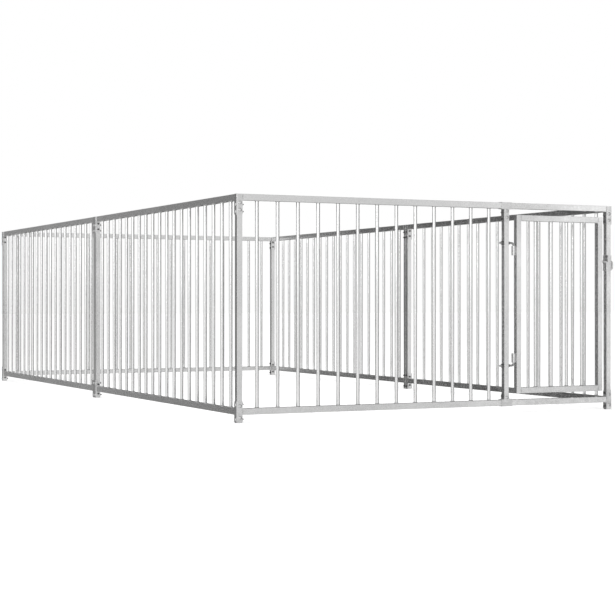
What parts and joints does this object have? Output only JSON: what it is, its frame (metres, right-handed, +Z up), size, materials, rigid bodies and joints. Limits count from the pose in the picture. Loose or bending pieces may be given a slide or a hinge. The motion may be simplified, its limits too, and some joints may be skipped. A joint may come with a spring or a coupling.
{
  "type": "kennel cage",
  "caption": "Free-standing open-topped dog kennel cage of bolted galvanised bar panels, with a hinged bar door and a sliding rod latch at the front right.",
  "frame": {"origin": "on the ground, at the middle of the kennel's plan, taken over the outer faces of its posts", "axes": "+Z up; +Y from the front wall, which has the door, to the back wall, along the kennel's length; +X to the right when facing the front"},
  "size_m": [2.0287, 4.0189, 1.0025],
  "materials": {
    "galvanised_tube": "hot-dip galvanised square tube, satin with a faint spangle",
    "galvanised_bar": "hot-dip galvanised round tube, satin",
    "galvanised_bracket": "galvanised pressed plate, satin",
    "zinc_fastener": "bright zinc-plated bolts and nuts",
    "zinc_rod": "zinc-plated round rod"
  },
  "bodies": {
    "enclosure": {"back_bars": "galvanised_bar", "back_bottom_rail": "galvanised_tube", "back_top_rail": "galvanised_tube", "carriage_bolts": "zinc_fastener", "door_header_rail": "galvanised_tube", "door_post": "galvanised_tube", "door_post_bottom_bracket": "galvanised_bracket", "door_post_top_bracket": "galvanised_bracket", "door_sill_rail": "galvanised_tube", "front_bars": "galvanised_bar", "front_bottom_rail": "galvanised_tube", "front_left_bottom_bracket": "galvanised_bracket", "front_left_top_bracket": "galvanised_bracket", "front_right_bottom_bracket": "galvanised_bracket", "front_right_top_bracket": "galvanised_bracket", "front_top_rail": "galvanised_tube", "hex_nuts": "zinc_fastener", "hinge_nuts": "zinc_fastener", "latch_bush": "galvanised_bracket", "latch_saddle": "galvanised_bracket", "left_front_bars": "galvanised_bar", "left_front_bottom_rail": "galvanised_tube", "left_front_corner_post": "galvanised_tube", "left_front_mid_post": "galvanised_tube", "left_front_top_rail": "galvanised_tube", "left_mid_bottom_bracket": "galvanised_bracket", "left_mid_top_bracket": "galvanised_bracket", "left_rear_bars": "galvanised_bar", "left_rear_bottom_rail": "galvanised_tube", "left_rear_corner_post": "galvanised_tube", "left_rear_mid_post": "galvanised_tube", "left_rear_top_rail": "galvanised_tube", "long_carriage_bolts": "zinc_fastener", "lower_hinge_bolt": "zinc_rod", "rear_left_bottom_bracket": "galvanised_bracket", "rear_left_top_bracket": "galvanised_bracket", "rear_right_bottom_bracket": "galvanised_bracket", "rear_right_top_bracket": "galvanised_bracket", "right_front_bars": "galvanised_bar", "right_front_bottom_rail": "galvanised_tube", "right_front_corner_post": "galvanised_tube", "right_front_mid_post": "galvanised_tube", "right_front_top_rail": "galvanised_tube", "right_mid_bottom_bracket": "galvanised_bracket", "right_mid_top_bracket": "galvanised_bracket", "right_rear_bars": "galvanised_bar", "right_rear_bottom_rail": "galvanised_tube", "right_rear_corner_post": "galvanised_tube", "right_rear_mid_post": "galvanised_tube", "right_rear_top_rail": "galvanised_tube", "upper_hinge_bolt": "zinc_rod"},
    "door": {"door_bars": "galvanised_bar", "door_bottom_rail": "galvanised_tube", "door_hinge_stile": "galvanised_tube", "door_latch_stile": "galvanised_tube", "door_top_rail": "galvanised_tube", "lower_hinge_barrel": "galvanised_bracket", "upper_hinge_barrel": "galvanised_bracket"},
    "latch": {"latch_bolt": "zinc_rod"}
  },
  "joints": [
    {"name": "door_hinge", "type": "hinge", "parent": "enclosure", "child": "door", "pos_m": [0.4395, -1.9875, 0.5195], "axis": [0, 0, 1], "range_deg": [-110, 0]},
    {"name": "latch_slide", "type": "slide", "parent": "enclosure", "child": "latch", "axis": [-1, 0, 0], "range_m": [0, 0.008]}
  ]
}
